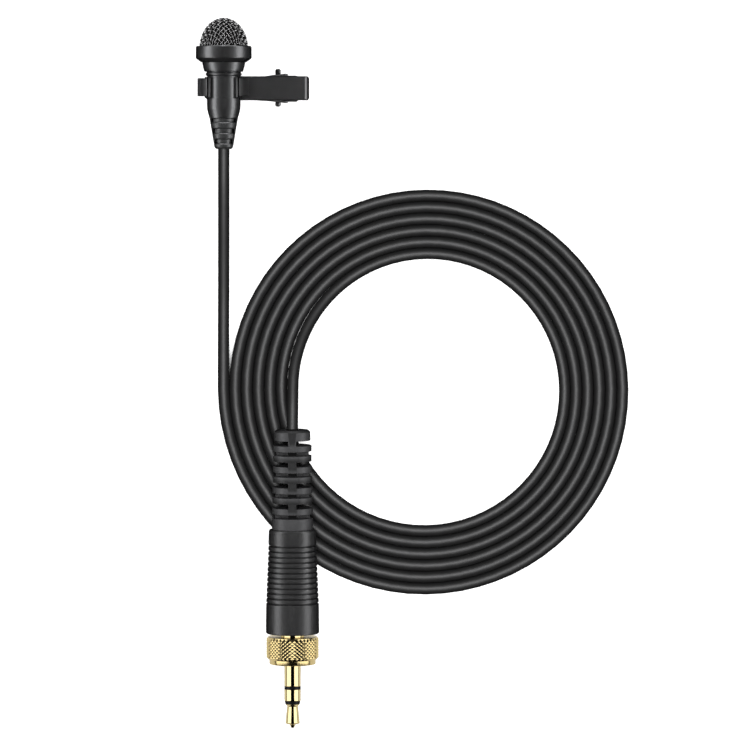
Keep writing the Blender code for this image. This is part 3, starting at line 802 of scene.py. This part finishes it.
def tail_slot(start, end, sign):
    """The cutter of one slot in the front or the back, with a rounded floor and broken edges.

    Start and end count from the tail's own start. Each pair of ends is how far past the slot's
    edge a section lies, and how deep the slot is there.
    """
    ends = ((-0.20, -0.04), (0.04, 0.15), (0.10, 0.42))
    half_w = TAIL_R0 - TAIL_TAPER * (start + end) / 2 - TAIL_WEB
    sections = [(start + past, depth) for past, depth in ends]
    sections += [(end - past, depth) for past, depth in ends[::-1]]
    bm = bmesh.new()
    rings = []
    for station, depth in sections:
        floor_r = TAIL_R0 - TAIL_TAPER * station - depth
        xs = [half_w * k / 10 for k in range(-10, 11)]
        outline = [(x, sign * math.sqrt(max(floor_r**2 - x**2, 0.04))) for x in xs]
        outline += [(half_w, sign * 6.0), (-half_w, sign * 6.0)]
        rings.append([bm.verts.new((x, y, TAIL_START + station)) for x, y in outline])
    skinned(bm, rings)
    return bm


def build_tail():
    """The slotted tail. The slots' floors are rounded, and thin webs run down both sides."""
    bore = CABLE_R + 0.02
    tail = [(bore, 21.46), (3.00, 21.46), (TAIL_R0, TAIL_START), (1.99, 27.60), (1.62, TAIL_END)]
    tail.append((bore, TAIL_END))
    slots = []
    for start, end in TAIL_SLOTS:
        for sign in (-1, 1):
            slots.append(tail_slot(start, end, sign))
    shape = lathe(fillet(tail, 0.22), 96)
    cuts = [merged(slots)]
    piece("tail", shape, MIC, "tail_black", "microphone", ["strain_relief"], 25, 0.04, cuts)
    inside = CABLE_R - 0.02
    out = TAIL_END + 0.28
    core = fillet([(0.0, 18.5), (inside, 18.5), (inside, out), (0.0, out)], 0.05, False)
    piece("cable_in_tail", lathe(core, 48), MIC, "cable_jacket", "microphone", ["cable_core_mic"])


# ---------------------------------------------------------------- clip

SHEET = 0.5
CLIP_HALF_W = 2.57
ARM_Z = 3.65


def strip(path, half_widths, thickness, broken=0.0):
    """Sheet metal bent along a path of (x, z) points, with its own half width at each point.

    Broken is how wide its outer edges are broken.
    """
    bm = bmesh.new()
    path = [Vector(p) for p in path]
    sections = []
    for k, point in enumerate(path):
        along = (path[min(k + 1, len(path) - 1)] - path[max(k - 1, 0)]).normalized()
        out = Vector((-along.y, along.x)) * (thickness / 2)
        w = half_widths[k]
        inner = w - broken
        shoulder = point + out * (1 - 1.6 * broken / thickness)
        corners = [(point + out, -inner), (point + out, inner), (shoulder, w)]
        corners += [(point - out, w), (point - out, -w), (shoulder, -w)]
        sections.append([bm.verts.new((p.x, v, p.y)) for p, v in corners])
    skinned(bm, sections)
    return bm


LIP_HALF_W = 1.93
WRAP_HALF_W = 2.18
BAND_SHIFT = -0.09
BAND_SHEET = 0.45


def holder_path():
    """The C band about the microphone's axis as (x, z, half width): lip, ledge, wrap and flat base."""
    radius = SEAT_R + 0.045 + BAND_SHEET / 2
    half = [(-5.47, 2.50), (-4.9, 2.50), (-4.4, 2.55), (-3.95, 2.66), (-3.60, 2.79), (-3.42, 2.86)]
    half = [(x, z, LIP_HALF_W) for x, z in half]
    ledge = [(-3.36, 2.90), (-3.12, 2.92), (-2.94, 2.90)]
    half += [(x, z, WRAP_HALF_W) for x, z in ledge]
    for degrees in range(140, 249, 4):
        a = math.radians(degrees)
        half.append((radius * math.cos(a), radius * math.sin(a), WRAP_HALF_W))
    half.append((-1.20, -radius - 0.06, WRAP_HALF_W))
    both = half + [(-x, z, w) for x, z, w in half[::-1]]
    return [(x + BAND_SHIFT, z, w) for x, z, w in both]


def build_holder():
    """The band, with a pressed crease between each lip and the ledge beside the barrel."""
    path = holder_path()
    shape = strip([(x, z) for x, z, _ in path], [w for _, _, w in path], BAND_SHEET, 0.14)
    creases = []
    for side in (-1, 1):
        wedge = [(x * side + BAND_SHIFT, z) for x, z in ((3.58, 3.40), (3.08, 3.40), (3.31, 2.72))]
        crease = prism(wedge, -3.0, 3.0)
        crease.transform(STAND)
        creases.append(crease)
    cuts = [merged(creases)]
    piece("band", shape, CLIP, "band_black", "clip", ["holder_band"], 30, 0.07, cuts)


def build_upper_arm():
    """A flat plate with rounded near corners, a bright facet and a steep lip at its far end, and two ears."""
    z = ARM_Z - MIC_Z
    corner = 0.9
    rows = []
    for k in range(7):
        a = math.pi / 2 * k / 6
        rows.append((-4.0 + corner * (1 - math.cos(a)), CLIP_HALF_W - corner * (1 - math.sin(a))))
    path = [(x, z) for x, _ in rows]
    widths = [w for _, w in rows]
    for x in (-2.0, 3.0, 8.0, 13.0, 16.95, 17.08):
        path.append((x, z))
        widths.append(CLIP_HALF_W)
    end_x, end_z = path[-1]
    for heading, length in ((17, 0.08), (34, 0.46), (70, 0.05), (70, 0.75), (70, 0.40)):
        end_x += length * math.cos(math.radians(heading))
        end_z -= length * math.sin(math.radians(heading))
        path.append((end_x, end_z))
        widths.append(CLIP_HALF_W)
    widths[-1] = CLIP_HALF_W - 0.25
    x, pin_z = AXLE.x - MIC_X, AXLE.z - MIC_Z
    turn = [math.radians(-180 + 180 * k / 20) for k in range(21)]
    ear = [(x + 1.25 * math.cos(a), pin_z + 1.25 * math.sin(a)) for a in turn]
    ear += [(x + 1.5, z - 0.5), (x + 2.0, z), (x - 2.0, z), (x - 1.5, z - 0.5)]
    ears = []
    for side in (-1.85, 1.85):
        shape = prism(ear, side - 0.2, side + 0.2)
        shape.transform(STAND)
        ears.append(shape)
    hole = lathe([(0.0, -3.0), (0.59, -3.0), (0.59, 3.0), (0.0, 3.0)], 40)
    hole.transform(Matrix.Translation((x, 0, pin_z)) @ STAND)
    shape = strip(path, widths, SHEET, 0.24)
    piece("arm_upper", shape, CLIP, "sheet_black", "clip", ["upper_arm"], 25, 0.04, [hole], ears)


def build_lower_arm():
    """The toothed jaw, turned up under the microphone, then the plate, its ears and the finger tab."""
    z = SHEET / 2 - AXLE.z
    path = [(-15.05, 1.20), (-15.02, 0.60), (-14.98, 0.0), (-14.92, -0.6), (-14.86, -1.05)]
    for k in range(1, 7):
        a = math.pi / 2 * k / 6
        path.append((-14.83 + 0.55 * (1 - math.cos(a)), z + 0.55 * (1 - math.sin(a))))
    widths = [2.30] * len(path)
    for x, w in (
        (-12.0, 2.35), (-4.7, 2.50), (-3.3, 2.60), (-0.5, 2.70), (2.1, 2.81), (3.9, 2.81), (4.08, 2.70),
        (4.25, 2.50), (5.3, 2.42), (5.55, 2.25), (5.7, 1.95),
    ):
        path.append((x, z))
        widths.append(w)
    shape = strip(path, widths, SHEET, 0.10)
    ears = [outer_ear(side, z) for side in (-1, 1)]
    hole = lathe([(0.0, -4.0), (0.60, -4.0), (0.60, 4.0), (0.0, 4.0)], 40)
    hole.transform(STAND)
    teeth = []
    along_x = Matrix.Rotation(math.pi / 2, 4, "Z") @ Matrix.Rotation(math.pi / 2, 4, "X")
    for k in range(-2, 3):
        notch = prism([(k * 0.9 - 0.32, 1.40), (k * 0.9 + 0.32, 1.40), (k * 0.9, 0.72)], -16.0, -14.0)
        notch.transform(along_x)
        teeth.append(notch)
    cuts = [hole, merged(teeth)]
    piece("arm_lower", shape, JAW, "sheet_black", "jaw", ["lower_arm"], 30, 0.06, cuts, ears)


def outer_ear(side, z):
    """One ear of the lower arm. It leans outwards, more so towards the finger tab."""
    profile = [(-3.3, z - 0.24), (2.1, z - 0.24), (2.1, 0.40), (1.95, 0.72), (1.6, 0.92), (1.2, 0.98)]
    profile += [(-0.9, 0.98), (-1.5, 0.75), (-2.2, 0.1), (-2.8, -0.8)]
    bm = bmesh.new()
    faces = []
    for inwards in (0.0, 0.42):
        corners = []
        for px, pz in profile:
            foot = 2.60 + 0.21 * (px + 3.3) / 5.4
            crown = 2.60 + 0.62 * (px + 3.3) / 5.4
            edge = foot + (crown - foot) * (pz - z) / (0.98 - z)
            corners.append(bm.verts.new((px, side * (edge - inwards), pz)))
        faces.append(corners)
    bm.faces.new(faces[0])
    bm.faces.new(faces[1][::-1])
    for k in range(len(profile)):
        n = (k + 1) % len(profile)
        bm.faces.new([faces[0][k], faces[0][n], faces[1][n], faces[1][k]])
    return bm


def build_pin_and_spring():
    """The pin stands further out on the side of the windscreen, by beyond."""
    radius, half, beyond = 0.59, 3.90, 0.28
    end = [(radius, 3.02), (radius, 3.55), (0.53, 3.72), (0.44, 3.84), (0.26, half - 0.01), (0.0, half)]
    groove = [(radius - 0.07, 2.98), (radius - 0.07, 2.90)]
    shaft = [(r, -s - beyond) for r, s in end[::-1]] + [(r, -s) for r, s in groove]
    profile = shaft + [(radius, -2.86), (radius, 2.86)] + groove[::-1] + end
    piece("pin", lathe(profile, 48), PIN, "pin_black", "clip", ["axle_pin"], 40)
    ring, turns, steps = 0.82, 4.5, 24
    points = [(4.0, 1.1, 1.26), (2.4, 1.1, 1.12), (0.9, 1.1, 0.92)]
    for k in range(int(turns * steps) + 1):
        a = math.pi / 2 + 2 * math.pi * k / steps
        points.append((ring * math.cos(a), 1.1 - 2.2 * k / (turns * steps), ring * math.sin(a)))
    points += [(0.9, -1.1, -0.80), (1.5, -1.1, -0.62)]
    bm = bmesh.new()
    tube(bm, points, 0.15, 10)
    piece("spring", bm, JAW, "steel", "clip", ["torsion_spring"], 60)


# ---------------------------------------------------------------- plug


def boot_slot(k):
    """The station at the lower edge of the boot's side slot k, counted from the cable's end."""
    return BOOT_END - BOOT_HEAD - BOOT_SLOT - BOOT_PITCH * k


def boot_groove(k):
    """The two edges of the crossed groove below side slot k."""
    edge = boot_slot(k)
    return edge - BOOT_PITCH + BOOT_SLOT + BOOT_RING, edge - BOOT_RING


def build_boot():
    """Rings between side slots and crossed grooves, then a smooth collar and a hidden spigot."""
    bore = CABLE_R + 0.02
    profile = [(bore, BOOT_END), (3.40, BOOT_END), (3.80, BOOT_END - 0.40)]
    profile += [(3.86, BOOT_END - BOOT_HEAD), (3.90, boot_slot(0))]
    for k in range(4):
        edge = boot_slot(k)
        start, end = boot_groove(k)
        wide = 4.08 + 0.09 * k
        profile += [(wide, edge - 0.04), (wide, end), (wide - 0.60, end - 0.02), (wide - 0.60, start + 0.02)]
        if k < 3:
            profile += [(wide, start), (wide, start - 1.20), (wide - 0.05, start - 1.24)]
    profile += [(4.36, boot_groove(3)[0]), (4.36, BARREL_BACK + 0.03)]
    profile += [(4.10, BARREL_BACK + 0.03), (4.10, BOOT_BASE), (bore, BOOT_BASE)]
    cuts = []
    for k in range(4):
        edge = boot_slot(k)
        for side in (1, -1):
            across = sorted((side * BOOT_WEB, side * 6.0))
            cuts.append(prism(box_outline(*across, -6.0, 6.0), edge, edge + BOOT_SLOT))
            cuts.append(prism(box_outline(-6.0, 6.0, *across), *boot_groove(k)))
    shape = lathe(fillet(profile, 0.10, steps=2), 96)
    piece("boot", shape, PLUG, "rubber", "microphone", ["plug_boot"], 30, 0.08, [merged(cuts)])
    inside = CABLE_R - 0.02
    core = [(0.0, 34.64), (inside, 34.64), (inside, BOOT_END + 0.25), (0.0, BOOT_END + 0.25)]
    piece("cable_in_boot", lathe(core, 48), PLUG, "cable_jacket", "microphone", ["cable_core_plug"])


def build_handle():
    """A plain foot, twelve pressed grooves and a plain end."""
    profile = [(2.52, BARREL_FRONT), (5.44, BARREL_FRONT), (5.66, BARREL_FRONT + 0.16)]
    profile += [(5.68, BARREL_FRONT + 0.50), (5.63, 26.64)]
    pitch = 1.114
    for k in range(12):
        edge = 26.70 + pitch * k
        wide = 5.64 - 0.045 * k
        profile += [(wide - 0.05, edge), (wide - 0.34, edge + 0.10), (wide - 0.34, edge + 0.24)]
        profile += [(wide - 0.07, edge + 0.34), (wide - 0.04, edge + 0.70)]
    profile += [(5.12, 39.90), (5.04, BARREL_BACK - 0.35), (4.88, BARREL_BACK), (4.13, BARREL_BACK)]
    profile += [(4.13, 21.94), (2.52, 21.94)]
    shape = lathe(fillet(profile, 0.12), 144)
    piece("handle", shape, PLUG, "grained_plastic", "microphone", ["plug_barrel"], 50)


def build_contacts():
    """The tip, ring and sleeve with the insulators between them.

    Points just proud of a long side, near its ends, keep its shading level along it.
    """
    tip = [(0.0, 0.0), (0.34, 0.02), (0.50, 0.45), (0.60, 0.70), (1.48, 0.95), (1.52, 1.12), (1.51, 1.24)]
    tip += [(1.18, TIP_END - 0.63), (1.17, TIP_END - 0.51), (1.24, TIP_END - 0.35), (1.50, TIP_END - 0.07)]
    tip += [(1.50, TIP_END), (0.45, TIP_END), (0.45, 26.14), (0.0, 26.14)]
    piece("tip", lathe(fillet(tip, 0.08, False), 96), PLUG, "gold", "microphone", ["jack_tip"])
    start, end = TIP_END + 0.03, RING_START - 0.03
    front = [(0.48, start), (1.50, start), (1.56, start + 0.03), (1.66, end), (0.76, end), (0.76, 25.24)]
    shape = lathe(front + [(0.48, 25.24)], 72)
    piece("insulator_front", shape, PLUG, "insulator", "microphone", ["jack_insulator_front"])
    proud = JACK_R + 0.002
    ring = [(0.79, RING_START), (JACK_R, RING_START), (proud, RING_START + 0.15), (proud, RING_END - 0.15)]
    ring += [(JACK_R, RING_END), (1.02, RING_END), (1.02, 24.84), (0.79, 24.84)]
    piece("ring", lathe(fillet(ring, 0.04), 96), PLUG, "gold", "microphone", ["jack_ring"])
    start, end = RING_END + 0.03, SLEEVE_START - 0.03
    rear = [(1.05, start), (1.73, start), (1.73, end), (1.28, end), (1.28, 24.24), (1.05, 24.24)]
    piece("insulator_rear", lathe(rear, 72), PLUG, "insulator", "microphone", ["jack_insulator_rear"])
    sleeve = [(1.31, SLEEVE_START), (JACK_R, SLEEVE_START), (proud, SLEEVE_START + 0.15)]
    sleeve += [(proud, NECK_START - 0.15), (JACK_R, NECK_START), (NECK_R, NECK_START)]
    sleeve += [(NECK_R, 21.04), (1.72, 21.04), (1.72, 24.04), (1.31, 24.04)]
    piece("sleeve", lathe(fillet(sleeve, 0.04), 96), PLUG, "gold", "microphone", ["jack_sleeve"])


KNURL_LOW = KNURL_START + 0.04
KNURL_HIGH = KNURL_END - 0.04
KNURL_COUNT = 38
KNURL_ROWS = 6
KNURL_DEPTH = 0.13
KNURL_RIM = 0.30


def build_locking_ring():
    """A band of pressed pyramids, the plain skirt in front of it and the bore behind.

    Peaks and pits alternate along each row and from row to row, and each face is split between
    its two pits, so that the pits join up into crossed grooves.
    """
    before = [(3.40, 17.94), (3.40, RING_FRONT), (4.80, RING_FRONT), (4.93, RING_FRONT + 0.10)]
    before += [(4.95, RING_FRONT + 0.20), (4.95, KNURL_START - 0.08)]
    before += [(5.00, KNURL_START), (5.20, KNURL_START)]
    after = [(5.20, KNURL_END), (2.54, KNURL_END), (2.54, 17.94)]
    around = 2 * KNURL_COUNT
    rows = 2 * KNURL_ROWS
    bm = bmesh.new()
    sections = []
    body = [(r, s, None) for r, s in before]
    body += [(KNURL_R, KNURL_LOW + (KNURL_HIGH - KNURL_LOW) * k / rows, k) for k in range(rows + 1)]
    body += [(r, s, None) for r, s in after]
    for radius, station, row in body:
        ring = []
        for k in range(around):
            r = radius
            if row is not None:
                rim = min(1.0, min(station - KNURL_LOW, KNURL_HIGH - station) / KNURL_RIM)
                r -= 0.30 * (1 - rim) ** 2
                if (k + row) % 2:
                    r -= KNURL_DEPTH * (0.3 + 0.7 * rim)
            a = 2 * math.pi * k / around
            ring.append(bm.verts.new((r * math.cos(a), r * math.sin(a), station)))
        sections.append((row, ring))
    for (row, one), (next_row, two) in zip(sections, sections[1:] + sections[:1]):
        for k in range(around):
            n = (k + 1) % around
            if row is None or next_row is None:
                bm.faces.new([one[k], one[n], two[n], two[k]])
            elif (k + row) % 2:
                bm.faces.new([one[k], one[n], two[n]])
                bm.faces.new([one[k], two[n], two[k]])
            else:
                bm.faces.new([one[k], one[n], two[k]])
                bm.faces.new([one[n], two[n], two[k]])
    piece("lock_ring", bm, PLUG, "knurled_gold", "lock", ["locking_ring"], 24)


# ---------------------------------------------------------------- the whole

GOLD_PIECES = ("tip", "ring", "sleeve", "lock_ring")
RIM_LIT_PIECES = ("collar", "cup", "barrel", "tail", "boot", "handle")


def main():
    build_camera()
    shared, rim = build_light()
    build_floor()
    finish_cad_nodes()
    build_windscreen()
    build_head_and_body()
    build_tail()
    build_holder()
    build_upper_arm()
    build_lower_arm()
    build_pin_and_spring()
    build_boot()
    build_handle()
    build_contacts()
    build_locking_ring()
    objects = bpy.data.objects
    cable = build_cable()
    cords = [cable, objects["cable_in_tail"]]
    light_pieces(shared, cords, [objects[name] for name in GOLD_PIECES])
    light_only("rim_lit", [rim], [objects[name] for name in RIM_LIT_PIECES])
    bpy.context.scene.view_settings.view_transform = "Standard"


main()
